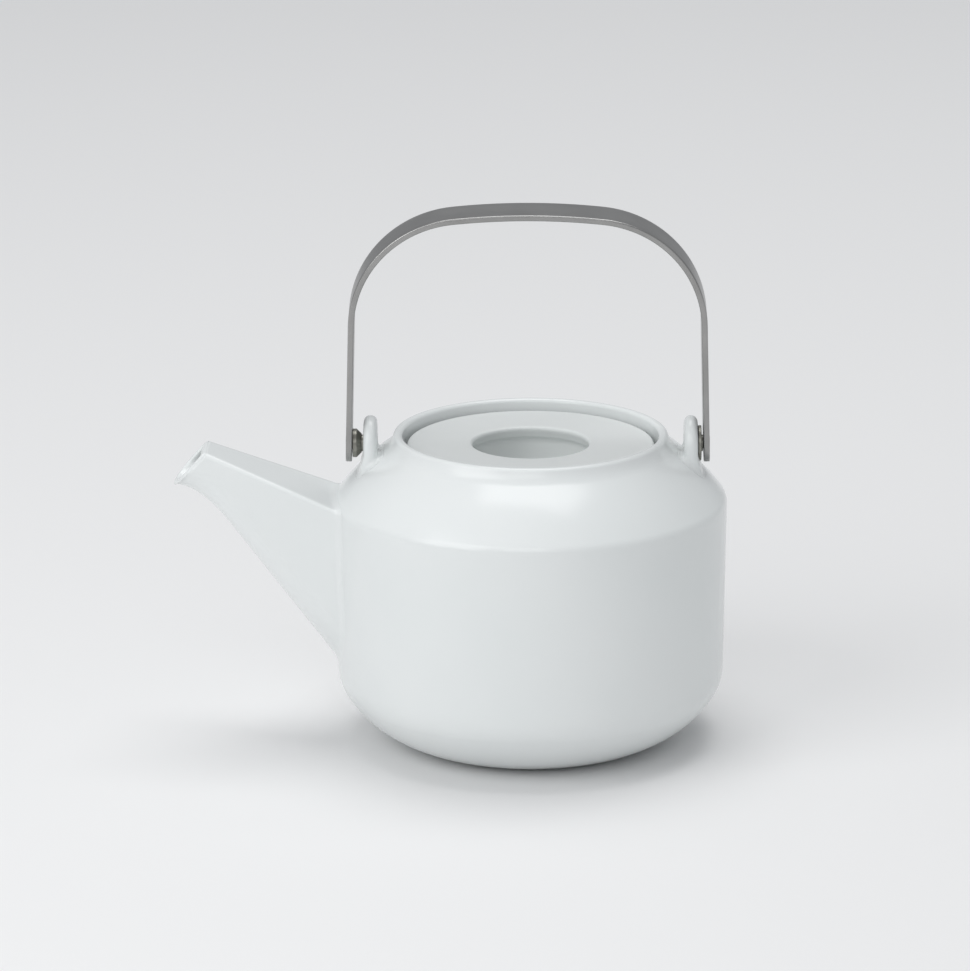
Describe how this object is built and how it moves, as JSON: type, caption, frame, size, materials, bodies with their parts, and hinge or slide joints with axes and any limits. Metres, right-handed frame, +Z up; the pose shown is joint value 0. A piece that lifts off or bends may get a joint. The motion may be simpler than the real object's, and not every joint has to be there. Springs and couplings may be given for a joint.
{
  "type": "teapot infuser",
  "caption": "Porcelain teapot with flat-topped spout, steel bail handle, lift-out mesh infuser and flush lid with a finger well.",
  "frame": {"origin": "centre of the foot ring, on the surface the pot stands on", "axes": "+Z up, along the pot's axis; the spout points towards -X; the handle pivots run along X; +Y is away from the viewer who sees the spout on the left"},
  "size_m": [0.1664, 0.118, 0.1658],
  "materials": {
    "porcelain": "glossy white glaze with a faint green-blue cast",
    "lid_porcelain": "satin matt glaze",
    "handle_steel": "satin stainless, brushed along the band",
    "pin_steel": "turned stainless",
    "strainer_steel": "pressed stainless sheet",
    "strainer_mesh": "fine stainless mesh"
  },
  "bodies": {
    "pot": {"pot_body": "porcelain", "spout": "porcelain", "front_lug": "porcelain", "rear_lug": "porcelain"},
    "handle": {"handle_band": "handle_steel", "front_pivot_pin": "pin_steel", "rear_pivot_pin": "pin_steel", "front_washer": "pin_steel", "rear_washer": "pin_steel"},
    "strainer": {"strainer_rim": "strainer_steel", "strainer_side_mesh": "strainer_mesh", "strainer_base_mesh": "strainer_mesh", "strainer_base_ring": "strainer_steel", "strainer_seam_strip": "strainer_steel"},
    "lid": {"lid_plate": "lid_porcelain", "lid_well": "lid_porcelain"}
  },
  "joints": [
    {"name": "handle_swing", "type": "hinge", "parent": "pot", "child": "handle", "pos_m": [0, 0, 0.0915], "axis": [1, 0, 0], "range_deg": [-108, 96]},
    {"name": "strainer_lift", "type": "slide", "parent": "pot", "child": "strainer", "axis": [0, 0, 1], "range_m": [0, 0.0625]},
    {"name": "lid_lift", "type": "slide", "parent": "strainer", "child": "lid", "axis": [0, 0, 1], "range_m": [0, 0.045]}
  ]
}
